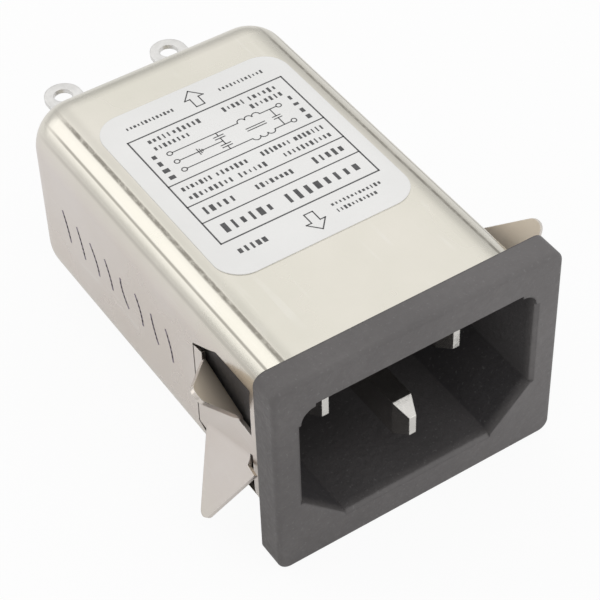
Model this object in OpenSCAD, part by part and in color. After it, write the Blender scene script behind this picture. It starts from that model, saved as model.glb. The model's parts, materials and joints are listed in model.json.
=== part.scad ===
// Snap-in mains inlet with a built-in line filter in a drawn metal can.
// X runs to the right seen from the front, Y runs back through the panel and Z runs up.
// The origin is the centre of the inlet on the flange's back face, where the panel seats.

/* [Flange] */
// How far the flange reaches past the can at each side
flange_lip_w = 1.1; // [0.9:0.1:4]
// How far the flange reaches past the can at the top and bottom
flange_lip_h = 1.2; // [0.9:0.1:4]
// Thickness of the flange
flange_t = 2.9; // [1.6:0.1:4]
// Radius of the flange's corners
flange_r = 1.2; // [0.8:0.1:3]
// Radius of the edge round the flange's front
flange_edge_r = 0.45; // [0.2:0.05:0.7]

/* [Socket] */
// Width of the socket
socket_w = 24.4; // [24:0.1:26]
// Height of the socket
socket_h = 15.8; // [15.4:0.1:17]
// Depth of the socket from the flange's front
socket_depth = 16; // [14.5:0.1:18]
// Size of the slanted bottom corners
socket_slant = 4.3; // [3:0.1:5]
// Radius of the top corners
socket_r = 1.5; // [0.5:0.1:2.5]
// Thickness of the socket's wall
socket_wall = 0.8; // [0.6:0.05:1]
// Thickness of the socket's floor
socket_floor_t = 2; // [1:0.1:3]
// Length of the collar that holds the can's mouth
collar_l = 2; // [1:0.1:2.4]
// Width of the bevel round the socket's mouth
mouth_bevel = 0.35; // [0.1:0.05:0.6]

/* [Pins] */
// Thickness of a pin's blade
pin_t = 2; // [1.6:0.1:2.4]
// Height of a pin's blade
pin_h = 4; // [3.4:0.1:4.4]
// Distance between the line and neutral pins
pin_pitch = 14; // [13:0.1:15]
// Height of the line and neutral pins above the socket's middle
pin_rise = 1.5; // [1:0.1:2]
// Drop of the earth pin below the other two
earth_drop = 4; // [3.5:0.1:4.5]
// Distance from the flange's front to the line and neutral tips
pin_recess = 4.3; // [3:0.1:6]
// Distance from the flange's front to the earth tip
earth_recess = 1.1; // [0.5:0.1:2.5]
// Length of the bevelled tip
pin_bevel = 1.7; // [0.8:0.1:2.5]
// Thickness of the flat end of a tip
pin_flat_t = 0.7; // [0.4:0.05:1.2]
// Height of the flat end of a tip
pin_flat_h = 2.2; // [1.2:0.1:3]
// Length of the solder tail behind the floor
tail_l = 4.8; // [4:0.1:5.4]
// Thickness of the solder tail
tail_t = 0.8; // [0.6:0.05:1.2]
// Height of the solder tail
tail_h = 3; // [2.4:0.1:3.4]
// Diameter of the hole in the solder tail
tail_hole_d = 1.3; // [1.1:0.05:1.6]

/* [Can] */
// Gap between the socket and the can's sides
side_gap = 0.4; // [0.2:0.05:1.2]
// Gap between the socket and the can's top and bottom
top_gap = 1.15; // [0.8:0.05:2]
// Length of the can behind the panel's seat
case_l = 43; // [39:0.5:60]
// Thickness of the can's sheet
sheet_t = 0.4; // [0.3:0.05:0.5]
// Radius of the long edges
case_r = 4.5; // [4.2:0.1:5]
// Radius round the closed back
case_back_r = 4; // [3:0.1:4.1]

/* [Spring tabs] */
// Distance from the panel's seat to the slit behind a tab
slit_y = 11.7; // [11.2:0.1:13]
// Distance from the slit's end to where the can's long edge starts to round
slit_margin = 0.65; // [0.4:0.05:0.9]
// Distance that the tabs sit below the can's middle
tab_drop = 0.6; // [0:0.1:0.7]
// Width of the cut round a tab
cut_w = 0.2; // [0.15:0.05:0.3]
// Distance from the panel's seat to the front of the cut-outs
window_front = 2.6; // [2.4:0.1:3]
// Distance from the cut-outs' far edge to the can's top and bottom
window_margin = 3.05; // [2.5:0.05:3.6]
// Distance from the panel's seat to where the slanting back of a cut-out ends
window_back = 8; // [7:0.1:9]
// Distance from the panel's seat to the back end of a wing's bend
bend_back_y = 10.4; // [10:0.1:10.8]
// Distance from the slit's end to the back end of a wing's bend
bend_margin = 1.4; // [1:0.05:1.8]
// Height of the front end of a raked wing's bend
bend_front_z = 1; // [0.8:0.05:1.4]
// Height of the uncut neck in front of a steep wing
neck_z = 1.5; // [1.2:0.05:1.8]
// Angle that a wing is bent out of the wall
wing_angle = 38; // [30:1:50]
// Inside radius of the bend
wing_bend_r = 1.1; // [0.6:0.1:1.3]
// Reach of a wing from its bend to the middle of its rounded tip
wing_reach = 6.3; // [5.6:0.1:6.8]
// Distance from the bend's front to the tip, along the bend
wing_tip_x = 3.9; // [3.4:0.1:4.6]
// Radius of a wing's tip
wing_tip_r = 0.9; // [0.5:0.05:1.2]
// Place along the bend where a steep wing begins
steep_nose = 2.1; // [1.8:0.1:2.6]
// Place along the bend of the front corner on a raked wing
raked_nose = -0.9; // [-1.2:0.1:0]
// Distance of a wing's front corner from the bend
nose_rise = 0.8; // [0.7:0.1:1.2]

/* [Label] */
// Width of the label
label_w = 20.2; // [16:0.1:21]
// Length of the label
label_l = 24.6; // [18:0.1:26]
// Radius of the label's corners
label_r = 2.8; // [1:0.1:4]
// Thickness of the label
label_t = 0.08; // [0.05:0.01:0.15]
// Distance from the panel's seat to the label's middle
label_y = 23.3; // [20:0.1:25]

/* [Back terminals] */
// Distance from a bushing's rim to the rounding at the back's side
lug_inset_x = 0.5; // [0.1:0.1:1.4]
// Distance from a bushing's rim to the rounding at the back's top
lug_inset_z = 0.25; // [0.1:0.05:0.8]
// Width of a lug
lug_w = 3.8; // [3.4:0.1:4.2]
// Thickness of a lug
lug_t = 0.5; // [0.4:0.05:0.7]
// Length of a lug behind the can
lug_reach = 8.2; // [6:0.1:9]
// Diameter of the hole in a lug
lug_hole_d = 1.9; // [1.5:0.05:2.2]
// Width of the stem that goes through the can
stem_w = 2.2; // [1.8:0.1:2.6]
// Length of the stem inside the can
stem_l = 4.6; // [4:0.1:5]
// Diameter of a bushing in the can's back
bushing_d = 5; // [4.2:0.1:5.4]
// Diameter of a bushing's rims
bushing_rim_d = 6.4; // [6:0.1:6.8]
// Thickness of each rim
bushing_rim_t = 1; // [0.6:0.1:1.2]
// Distance of the earth rivet below the can's middle
rivet_drop = 2.4; // [2.2:0.1:3]
// Diameter of the earth rivet's shank
rivet_d = 2; // [1.6:0.1:2.4]
// Diameter of the earth rivet's heads
rivet_head_d = 3.6; // [3.2:0.1:4]
// Height of the earth rivet's heads
rivet_head_h = 0.8; // [0.5:0.1:1]
// Height of the earth lug's foot
foot_h = 4.4; // [4:0.1:4.6]
// Inside radius of the earth lug's bend
foot_bend_r = 0.6; // [0.4:0.1:0.9]

/* [Choke] */
// Outside diameter of the ring core
core_d = 13; // [12:0.1:13.4]
// Inside diameter of the ring core
core_hole_d = 7.5; // [7:0.1:8]
// Height of the ring core
core_h = 5.2; // [4.4:0.1:5.6]
// Radius of the core's edges
core_edge_r = 0.4; // [0.2:0.1:0.6]
// Diameter of the choke wire
wire_d = 0.8; // [0.6:0.05:0.8]
// Turns on each half of the core
turns = 8; // [5:1:8]
// Angle from one turn to the next
turn_step = 15.8; // [15.8:0.1:16.4]
// Diameter of the choke holder's base
holder_d = 15; // [14:0.1:16]
// Thickness of the choke holder's base
holder_t = 0.8; // [0.5:0.1:1]
// Thickness of the wall between the windings
divider_t = 1; // [0.8:0.1:1.4]

/* [Capacitors and wiring] */
// Width of the film capacitor
film_w = 13; // [11:0.1:14]
// Length of the film capacitor
film_l = 9.5; // [8:0.1:10.5]
// Height of the film capacitor
film_h = 5.4; // [4.8:0.1:5.6]
// Radius of the film capacitor's edges
film_edge_r = 0.6; // [0.3:0.1:1]
// Diameter of the film and disc capacitors' leads
lead_d = 0.6; // [0.5:0.05:0.7]
// Diameter of a disc capacitor
disc_d = 7; // [6:0.1:7.2]
// Thickness of a disc capacitor
disc_t = 3; // [2.4:0.1:3.1]
// How much nearer the middle a disc capacitor sits than its lug
disc_inset = 0.7; // [0:0.1:0.9]
// Diameter of the earth wire
earth_wire_d = 1.2; // [1:0.05:1.2]
// Thickness of the insulating sleeve
sleeve_t = 0.25; // [0.2:0.05:0.35]
// Clearance kept between neighbouring pieces inside the can
air_gap = 0.5; // [0.4:0.05:0.6]
// Step between the bends of the loose leads
bend_step = 1; // [0.9:0.05:1.1]

/* [Hidden] */
$fn = 64;

eps = 0.01;
fit = 0.1;              // clearance between parts that slide together
over = 1;               // how far a cut runs past a face
tube_sides = 8;         // sides of a swept wire

case_w = socket_w + 2 * (socket_wall + side_gap + sheet_t);
case_h = socket_h + 2 * (socket_wall + top_gap + sheet_t);
flange_w = case_w + 2 * flange_lip_w;
flange_h = case_h + 2 * flange_lip_h;

pin_x = pin_pitch / 2;
earth_z = pin_rise - earth_drop;
socket_back = socket_depth - flange_t + socket_floor_t;
tail_end = socket_back + tail_l;
tail_hole_y = tail_end - tail_h / 2;

inner_w = case_w - 2 * sheet_t;
inner_h = case_h - 2 * sheet_t;
inner_back = case_l - sheet_t;
inner_r = case_r - sheet_t;
inner_back_r = case_back_r - sheet_t;

sleeve_front = socket_back + air_gap;
sleeve_back = inner_back - inner_back_r - 2 * fit;
floor_z = -inner_h / 2 + fit + sleeve_t;

lug_x = case_w / 2 - case_back_r - bushing_rim_d / 2 - lug_inset_x;
lug_z = case_h / 2 - case_back_r - bushing_rim_d / 2 - lug_inset_z;
lug_end = case_l + lug_reach;
stem_end = inner_back - stem_l;
rim_back = case_l + bushing_rim_t;

slit_half = case_h / 2 - case_r - slit_margin;
window_top = case_h / 2 - window_margin;
bend_back_z = slit_half - bend_margin;
bend_front = [window_front, bend_front_z];
bend_back = [bend_back_y, bend_back_z];
bend_slope = atan2(bend_back.y - bend_front.y, bend_back.x - bend_front.x);
bend_l = norm(bend_back - bend_front);
bend_set = wing_bend_r * tan(wing_angle / 2);
bend_run = (wing_bend_r + sheet_t) * sin(wing_angle);
bend_start = (bend_run * sin(bend_slope) + cut_w) / cos(bend_slope);

disc_x = lug_x - disc_inset;
disc_back = inner_back - bushing_rim_t - air_gap;
disc_front = disc_back - disc_t;
disc_z = lug_z - lug_t / 2 - wire_d - air_gap - disc_d / 2;

wire_gap = 0.05;        // between the core and the wire round it
loop_corner_r = 0.5;
core_z = floor_z + holder_t + fit + wire_d + wire_gap + core_h / 2;
choke_y = (tail_end + disc_front - wire_d) / 2;
loop_half_r = (core_d - core_hole_d) / 4 + wire_d / 2 + wire_gap;
loop_half_z = core_h / 2 + wire_d / 2 + wire_gap;
loop_mid_r = (core_d + core_hole_d) / 4;

film_front = tail_hole_y - 0.7 * bend_step;
film_z = -floor_z - fit - film_h / 2;

// ---- plan outlines ----

// A rectangle with round corners, centred.
module rounded_rect(w, h, r) {
    square([w - 2 * r, h], center = true);
    square([w, h - 2 * r], center = true);
    for (sx = [-1, 1], sy = [-1, 1])
        translate([sx * (w / 2 - r), sy * (h / 2 - r)])
            circle(r);
}

// The socket's outline: round corners at the top, slanted corners at the bottom.
module socket_outline(grow = 0) {
    w = socket_w / 2 + grow;
    h = socket_h / 2 + grow;
    slant = socket_slant + grow * (2 - sqrt(2));
    r = socket_r + grow;
    polygon([
        [-w, h - r], [-w, -h + slant], [-w + slant, -h],
        [w - slant, -h], [w, -h + slant], [w, h - r]
    ]);
    translate([-w + r, 0])
        square([2 * (w - r), h]);
    for (s = [-1, 1])
        translate([s * (w - r), h - r])
            circle(r);
}

// Stands an outline drawn in X and Z along Y, from y0 to y1.
module along_y(y0, y1) {
    translate([0, y1, 0])
        rotate([90, 0, 0])
            linear_extrude(y1 - y0)
                children();
}

// Turns a round profile drawn in radius and length so that its axis lies along Y.
module turned_along_y(angle = 360) {
    rotate([-90, 0, 0])
        rotate_extrude(angle = angle)
            children();
}

// ---- drawn block: long edges rounded by r, far end rounded by end_r ----

module drawn_edge_profile(l, r, end_r) {
    square([r, l - end_r]);
    square([r - end_r, l]);
    intersection() {
        translate([r - end_r, l - end_r])
            circle(end_r);
        translate([r - end_r, l - end_r])
            square(end_r);
    }
}

module drawn_slab_profile(half, l, end_r) {
    translate([-half, 0])
        square([2 * half, l - end_r]);
    translate([-half + end_r, 0])
        square([2 * (half - end_r), l]);
    for (s = [-1, 1])
        translate([s * (half - end_r), l - end_r])
            circle(end_r);
}

module drawn_block(w, h, l, r, end_r) {
    corners = [[1, -1], [-1, -1], [-1, 1], [1, 1]];
    for (q = [0:3])
        translate([corners[q].x * (w / 2 - r), 0, corners[q].y * (h / 2 - r)])
            rotate([0, q * 90, 0])
                turned_along_y(90)
                    drawn_edge_profile(l, r, end_r);
    linear_extrude(h - 2 * r, center = true)
        drawn_slab_profile(w / 2, l, end_r);
    rotate([0, -90, 0])
        linear_extrude(w - 2 * r, center = true)
            drawn_slab_profile(h / 2, l, end_r);
}

// ---- wire swept along a list of points ----

function unit(v) = v / norm(v);
function path_dir(p, i) =
    i == 0 ? unit(p[1] - p[0]) :
    i == len(p) - 1 ? unit(p[i] - p[i - 1]) :
    unit(unit(p[i + 1] - p[i]) + unit(p[i] - p[i - 1]));
// A side vector carried along the path, so that the tube doesn't twist.
function carry(v, dir) = unit(v - (v * dir) * dir);
function path_sides(p, i, v) =
    i == len(p) ? [] :
    let (side = carry(v, path_dir(p, i)))
    concat([side], path_sides(p, i + 1, side));
function first_side(p) =
    let (dir = path_dir(p, 0))
    carry(abs(dir.z) < 0.8 ? [0, 0, 1] : [1, 0, 0], dir);
function ring(c, dir, side, r, n) =
    let (up = cross(dir, side))
    [for (k = [0:n - 1]) c + r * (cos(360 * k / n) * side + sin(360 * k / n) * up)];

module wire(path, d, n = tube_sides) {
    count = len(path);
    sides = path_sides(path, 0, first_side(path));
    points = [for (i = [0:count - 1]) each ring(path[i], path_dir(path, i), sides[i], d / 2, n)];
    skin = [for (i = [0:count - 2], k = [0:n - 1])
        let (a = i * n + k, b = i * n + (k + 1) % n)
        [a, a + n, b + n, b]];
    caps = [[for (k = [0:n - 1]) k], [for (k = [n - 1:-1:0]) (count - 1) * n + k]];
    polyhedron(points, concat(skin, caps));
}

// ---- inlet ----

module inlet_housing() {
    color([0.2, 0.19, 0.19])
        difference() {
            union() {
                rotate([0, 0, 180])
                    drawn_block(flange_w, flange_h, flange_t, flange_r, flange_edge_r);
                along_y(0, collar_l)
                    rounded_rect(inner_w - 2 * fit, inner_h - 2 * fit, inner_r - fit);
                along_y(0, socket_back)
                    socket_outline(socket_wall);
            }
            along_y(-flange_t - over, socket_depth - flange_t)
                socket_outline();
            mouth_bevels();
            pin_slot(-pin_x, pin_rise);
            pin_slot(pin_x, pin_rise);
            pin_slot(0, earth_z);
        }
}

// Bevels along the straight edges of the socket's mouth.
module mouth_bevels() {
    w = socket_w / 2;
    h = socket_h / 2;
    translate([0, -flange_t, h])
        edge_bevel(2 * (w - socket_r), 0);
    translate([0, -flange_t, -h])
        edge_bevel(2 * (w - socket_slant), 180);
    for (s = [-1, 1])
        translate([s * w, -flange_t, (socket_slant - socket_r) / 2])
            edge_bevel(2 * h - socket_slant - socket_r, s * 90);
}

// A square bar on edge, which bevels the edge that runs along its middle.
module edge_bevel(l, turn) {
    rotate([0, turn, 0])
        rotate([45, 0, 0])
            cube([l, mouth_bevel * sqrt(2), mouth_bevel * sqrt(2)], center = true);
}

module pin_slot(x, z) {
    translate([x - pin_t / 2, socket_depth - flange_t - over, z - pin_h / 2])
        cube([pin_t, socket_floor_t + 2 * over, pin_h]);
}

// A bevelled blade that ends behind the floor in a thin tail with a hole.
module contact_pin(tip_y) {
    color([0.83, 0.82, 0.78])
        difference() {
            union() {
                intersection() {
                    linear_extrude(pin_h, center = true)
                        blade_profile(tip_y, pin_t / 2, pin_flat_t / 2);
                    rotate([0, -90, 0])
                        linear_extrude(pin_t, center = true)
                            blade_profile(tip_y, pin_h / 2, pin_flat_h / 2);
                }
                translate([-tail_t / 2, socket_back - eps, -tail_h / 2])
                    cube([tail_t, tail_l + eps, tail_h]);
            }
            translate([0, tail_hole_y, 0])
                rotate([0, 90, 0])
                    cylinder(d = tail_hole_d, h = tail_t + 2 * over, center = true);
        }
}

module blade_profile(tip_y, half, flat) {
    polygon([
        [-half, socket_back], [-half, tip_y + pin_bevel], [-flat, tip_y],
        [flat, tip_y], [half, tip_y + pin_bevel], [half, socket_back]
    ]);
}

module line_pin() {
    translate([-pin_x, 0, pin_rise])
        contact_pin(pin_recess - flange_t);
}

module neutral_pin() {
    translate([pin_x, 0, pin_rise])
        contact_pin(pin_recess - flange_t);
}

module earth_pin() {
    translate([0, 0, earth_z])
        contact_pin(earth_recess - flange_t);
}

// ---- can with its spring tabs ----

module case() {
    color([0.78, 0.75, 0.71]) {
        difference() {
            drawn_block(case_w, case_h, case_l, case_r, case_back_r);
            translate([0, -over, 0])
                drawn_block(inner_w, inner_h, inner_back + over, inner_r, inner_back_r);
            for (s = [-1, 1])
                scale_mirror(s, -s) {
                    tab_cut(-s, [[window_front, neck_z], on_wall(steep_nose, 0)]);
                    mirror([0, 0, 1])
                        tab_cut(s, [on_wall(0, 0)]);
                }
            for (s = [-1, 1])
                translate([s * lug_x, case_l, lug_z])
                    back_hole(bushing_d);
            translate([0, case_l, -rivet_drop])
                back_hole(rivet_d);
        }
        for (s = [-1, 1])
            scale_mirror(s, -s) {
                at_bend(-s)
                    wing(steep_nose, steep_nose);
                mirror([0, 0, 1])
                    at_bend(s)
                        wing(bend_start, raked_nose);
            }
    }
}

module back_hole(d) {
    rotate([90, 0, 0])
        cylinder(d = d, h = 4 * sheet_t, center = true);
}

// Copies to the side s (right 1, left -1) and the half t (upper 1, lower -1).
module scale_mirror(s, t) {
    mirror([s < 0 ? 1 : 0, 0, 0])
        mirror([0, 0, t < 0 ? 1 : 0])
            children();
}

// The place on the right wall, as distance from the seat and height, of a point
// x along the bend line and y beyond it.
function on_wall(x, y) = bend_front + [
    x * cos(bend_slope) - y * sin(bend_slope),
    x * sin(bend_slope) + y * cos(bend_slope)
];

// The upper half of what is cut out of the right wall round a tab. The points in
// front lead from the neck to the bend, and t is the half of the can it ends up in.
module tab_cut(t, front) {
    translate([case_w / 2 - case_r, 0, -t * tab_drop])
        rotate([90, 0, 90])
            linear_extrude(case_r + over)
                polygon(concat(
                    [[slit_y, -eps], [slit_y + cut_w, -eps], [slit_y + cut_w, slit_half]],
                    [[window_back, window_top], [window_front, window_top]],
                    front,
                    [on_wall(bend_l, 0), [bend_back_y, slit_half], [slit_y, slit_half - cut_w]]
                ));
}

// Stands its children, a wing, at the bend line on the right wall.
module at_bend(t) {
    translate([case_w / 2, bend_front.x, bend_front.y - t * tab_drop])
        rotate([bend_slope, 0, 0])
            rotate([90, 0, 90])
                children();
}

// A wing beside its bend line, which runs along X. Z points out of the wall. It
// begins at start along the line, and its front corner is at nose.
module wing(start, nose) {
    intersection() {
        translate([-wing_reach, 0, 0])
            rotate([90, 0, 90])
                linear_extrude(bend_l + 2 * wing_reach)
                    wing_section();
        union() {
            translate([start, 0, 0])
                rotate([90, 0, 90])
                    linear_extrude(bend_l - start)
                        bend_wedge();
            translate([0, bend_set, 0])
                rotate([wing_angle, 0, 0])
                    linear_extrude(4 * sheet_t, center = true)
                        wing_outline(start, nose);
        }
    }
}

// The bent sheet in section: X runs away from the bend line and Y out of the wall.
// It starts a little before the bend, in the flat of the wall.
module wing_section() {
    difference() {
        bend_side(wing_bend_r + sheet_t, 0);
        bend_side(wing_bend_r, over);
        translate([-3 * wing_bend_r, -2 * wing_bend_r])
            square([3 * wing_bend_r, 5 * wing_bend_r]);
    }
    translate([-over / 2, -sheet_t])
        square([over / 2, sheet_t]);
}

// All that lies inside the bend, out to the radius r, and on from it.
module bend_side(r, more) {
    translate([0, wing_bend_r]) {
        circle(r);
        rotate(wing_angle)
            translate([0, -r])
                square([2 * wing_reach + more, 2 * r + more]);
    }
}

// Covers the bend as far as the flat begins.
module bend_wedge() {
    far = 3 * (wing_bend_r + sheet_t);
    translate([0, wing_bend_r])
        polygon([
            [0, 0], [-over, 0], [-over, -far],
            [far * sin(wing_angle), -far * cos(wing_angle)]
        ]);
}

// The flat of a wing, with its first corner at the bend's front end.
module wing_outline(start, nose) {
    tip = [wing_tip_x, wing_reach];
    corner = [nose, bend_set + nose_rise];
    back = [bend_l, bend_set];
    polygon([
        [start, bend_set - cut_w], [bend_l, bend_set - cut_w], back,
        touch_point(back, tip, wing_tip_r, 1), tip,
        touch_point(corner, tip, wing_tip_r, -1), corner,
        [start, bend_set + 2 * cut_w]
    ]);
    translate(tip)
        circle(wing_tip_r);
}

// Where a line from p touches a circle of radius r round c, on the side given.
function touch_point(p, c, r, side) =
    let (
        v = p - c,
        turn = side * acos(r / norm(v)),
        a = atan2(v.y, v.x) + turn
    )
    c + r * [cos(a), sin(a)];

module rating_label() {
    color([0.9, 0.9, 0.9])
        intersection() {
            difference() {
                drawn_block(case_w + 2 * label_t, case_h + 2 * label_t, case_l + label_t,
                    case_r + label_t, case_back_r + label_t);
                drawn_block(case_w, case_h, case_l, case_r, case_back_r);
            }
            translate([0, label_y, case_h / 4])
                linear_extrude(case_h)
                    rounded_rect(label_w, label_l, label_r);
        }
}

// ---- back terminals ----

module lug_ring(y0) {
    ring_y = lug_end - lug_w / 2;
    difference() {
        union() {
            translate([-lug_w / 2, y0, -lug_t / 2])
                cube([lug_w, ring_y - y0, lug_t]);
            translate([0, ring_y, 0])
                cylinder(d = lug_w, h = lug_t, center = true);
        }
        translate([0, ring_y, 0])
            cylinder(d = lug_hole_d, h = lug_t + 2 * over, center = true);
    }
}

module live_lug(s) {
    color([0.85, 0.85, 0.84])
        translate([s * lug_x, 0, lug_z]) {
            lug_ring(rim_back);
            translate([-stem_w / 2, stem_end, -lug_t / 2])
                cube([stem_w, rim_back - stem_end, lug_t]);
        }
}

module line_lug() {
    live_lug(-1);
}

module neutral_lug() {
    live_lug(1);
}

// A foot flat on the can's back, bent over into a ring like the other two.
module earth_lug() {
    bend_y = case_l + lug_t + foot_bend_r;
    foot_bottom = -rivet_drop - foot_h / 2;
    color([0.85, 0.85, 0.84]) {
        difference() {
            translate([-lug_w / 2, case_l, foot_bottom])
                cube([lug_w, lug_t, foot_h]);
            translate([0, case_l, -rivet_drop])
                back_hole(rivet_d);
        }
        translate([-lug_w / 2, bend_y, foot_bottom])
            rotate([0, 90, 0])
                rotate([0, 0, -90])
                    rotate_extrude(angle = 90)
                        translate([foot_bend_r, 0])
                            square([lug_t, lug_w]);
        translate([0, 0, foot_bottom - foot_bend_r - lug_t / 2])
            lug_ring(bend_y);
    }
}

module bushing(s) {
    color([0.25, 0.22, 0.2])
        translate([s * lug_x, 0, lug_z])
            difference() {
                translate([0, inner_back - bushing_rim_t, 0])
                    turned_along_y() {
                        square([bushing_rim_d / 2, bushing_rim_t]);
                        square([bushing_d / 2, 2 * bushing_rim_t + sheet_t]);
                        translate([0, bushing_rim_t + sheet_t])
                            square([bushing_rim_d / 2, bushing_rim_t]);
                    }
                translate([0, case_l, 0])
                    cube([stem_w, 4 * bushing_rim_t, lug_t], center = true);
            }
}

module line_bushing() {
    bushing(-1);
}

module neutral_bushing() {
    bushing(1);
}

// A solid rivet: a domed head outside, a flat one inside.
module earth_rivet() {
    head_y = case_l + lug_t;
    dome_r = (pow(rivet_head_d / 2, 2) + pow(rivet_head_h, 2)) / (2 * rivet_head_h);
    color([0.8, 0.79, 0.76])
        translate([0, 0, -rivet_drop]) {
            translate([0, inner_back - rivet_head_h, 0])
                turned_along_y() {
                    square([rivet_head_d / 2, rivet_head_h]);
                    square([rivet_d / 2, rivet_head_h + sheet_t + lug_t + eps]);
                }
            translate([0, head_y, 0])
                turned_along_y()
                    intersection() {
                        translate([0, rivet_head_h - dome_r])
                            circle(dome_r);
                        square([rivet_head_d, rivet_head_h]);
                    }
        }
}

// ---- inside the can ----

module insulating_sleeve() {
    color([0.85, 0.78, 0.6])
        along_y(sleeve_front, sleeve_back)
            difference() {
                rounded_rect(inner_w - 2 * fit, inner_h - 2 * fit, inner_r - fit);
                rounded_rect(inner_w - 2 * (fit + sleeve_t), inner_h - 2 * (fit + sleeve_t),
                    inner_r - fit - sleeve_t);
            }
}

module choke_core() {
    color([0.3, 0.32, 0.3])
        translate([0, choke_y, core_z])
            rotate_extrude()
                translate([loop_mid_r, 0])
                    rounded_rect((core_d - core_hole_d) / 2, core_h, core_edge_r);
}

// A base with a dividing wall in the core's hole and a ledge on each side of the hole.
module choke_holder() {
    base_top = floor_z + holder_t;
    core_foot = core_z - core_h / 2;
    divider_l = core_hole_d - 4 * fit;
    ledge_in = core_hole_d / 2 + fit;
    ledge_l = (core_d - core_hole_d) / 2 - 2 * fit;
    color([0.9, 0.88, 0.82])
        translate([0, choke_y, 0]) {
            translate([0, 0, floor_z])
                cylinder(d = holder_d, h = holder_t);
            translate([-divider_t / 2, -divider_l / 2, base_top - eps])
                cube([divider_t, divider_l, core_z + loop_half_z - base_top]);
            for (s = [-1, 1])
                translate([-divider_t, s > 0 ? ledge_in : -ledge_in - ledge_l, base_top - eps])
                    cube([2 * divider_t, ledge_l, core_foot - base_top + eps]);
        }
}

// One round of the wire in radius and height, from the core's outer top edge inwards.
loop_a = loop_half_r - loop_corner_r;
loop_b = loop_half_z - loop_corner_r;
loop_round = [
    for (q = [[1, 1, 90], [-1, 1, 180], [-1, -1, 270], [1, -1, 360]], k = [0:2])
        let (a = q[2] - 90 + 45 * k)
        [loop_mid_r + q[0] * loop_a + loop_corner_r * cos(a),
            q[1] * loop_b + loop_corner_r * sin(a)]
];

// Points of the coil round the core, on the left half, from the front to the back.
coil_path = [
    for (t = [0:turns - 1], i = [0:11])
        let (
            a = 90 + turn_step * (t + i / 12 - turns / 2),
            p = loop_round[i]
        )
        [-p.x * sin(a), choke_y - p.x * cos(a), core_z + p.y]
];

// From the line pin's tail to the coil, and from the coil up to the line lug's stem.
lead_in = [
    [-pin_x - 1.2 * bend_step, tail_hole_y, pin_rise],
    [-pin_x + bend_step, tail_hole_y, pin_rise],
    [-pin_x + 2 * bend_step, tail_hole_y + 0.3 * bend_step, pin_rise - 0.6 * bend_step]
];
coil_start = coil_path[0];
lead_mid = (lead_in[2] + coil_start) / 2 + [0, 0, 0.4 * bend_step];
rise_y = disc_front - wire_d / 2 - air_gap / 2;
stem_under = lug_z - lug_t / 2 - wire_d / 2 - eps;
lead_out = [
    [-2.7 * bend_step, rise_y, core_z - bend_step],
    [-2.8 * bend_step, rise_y, core_z + loop_half_z + 0.4 * bend_step],
    [-(2.8 * bend_step + lug_x) / 2, rise_y, stem_under - 2 * bend_step],
    [-lug_x + 0.4 * bend_step, rise_y, stem_under - 0.8 * bend_step],
    [-lug_x, rise_y + bend_step, stem_under],
    [-lug_x, rise_y + 3 * bend_step, stem_under]
];

module line_winding() {
    color([0.75, 0.42, 0.2])
        wire(concat(lead_in, [lead_mid], coil_path, lead_out), wire_d);
}

module neutral_winding() {
    mirror([1, 0, 0])
        line_winding();
}

// A boxed capacitor across the two live tails.
module film_capacitor() {
    box_bottom = film_z - film_h / 2;
    lead_x = film_w / 2 - 1.2 * bend_step;
    tail_side = pin_x - tail_t / 2 - lead_d / 2 - eps;
    color([0.86, 0.82, 0.5])
        translate([0, 0, film_z])
            along_y(film_front, film_front + film_l)
                rounded_rect(film_w, film_h, film_edge_r);
    color([0.8, 0.8, 0.8])
        for (s = [-1, 1])
            wire([
                [s * lead_x, film_front + bend_step, box_bottom + 0.8 * bend_step],
                [s * lead_x, film_front + bend_step, box_bottom - 0.4 * bend_step],
                [s * tail_side, film_front, pin_rise + 0.8 * bend_step],
                [s * tail_side, film_front, pin_rise - 0.6 * bend_step]
            ], lead_d);
}

// A disc capacitor from a live lug's stem to the earth rivet.
module line_disc_capacitor() {
    mid_y = disc_back - disc_t / 2;
    stem_top = lug_z + lug_t / 2 + lead_d / 2 + eps;
    head_y = inner_back - rivet_head_h - lead_d / 2 - fit / 2;
    color([0.2, 0.35, 0.62])
        translate([-disc_x, disc_front, disc_z])
            turned_along_y()
                disc_profile();
    color([0.8, 0.8, 0.8]) {
        wire([
            [-disc_x + 1.6 * bend_step, mid_y, disc_z + 2.4 * bend_step],
            [-disc_x + 1.6 * bend_step, mid_y, stem_top - 1.2 * bend_step],
            [-disc_x + bend_step, mid_y, stem_top],
            [-disc_x - bend_step, mid_y, stem_top]
        ], lead_d);
        wire([
            [-disc_x + 2.4 * bend_step, mid_y, disc_z + bend_step],
            [-1.5 * bend_step, mid_y, 0.8 * bend_step - rivet_drop],
            [-1.2 * bend_step, disc_back - 0.2 * bend_step, bend_step - rivet_drop],
            [-0.9 * bend_step, head_y, 0.8 * bend_step - rivet_drop]
        ], lead_d);
    }
}

module neutral_disc_capacitor() {
    mirror([1, 0, 0])
        line_disc_capacitor();
}

module disc_profile() {
    edge_r = disc_t / 3;
    square([disc_d / 2 - edge_r, disc_t]);
    translate([0, edge_r])
        square([disc_d / 2, disc_t - 2 * edge_r]);
    for (y = [edge_r, disc_t - edge_r])
        translate([disc_d / 2 - edge_r, y])
            circle(edge_r);
}

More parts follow.
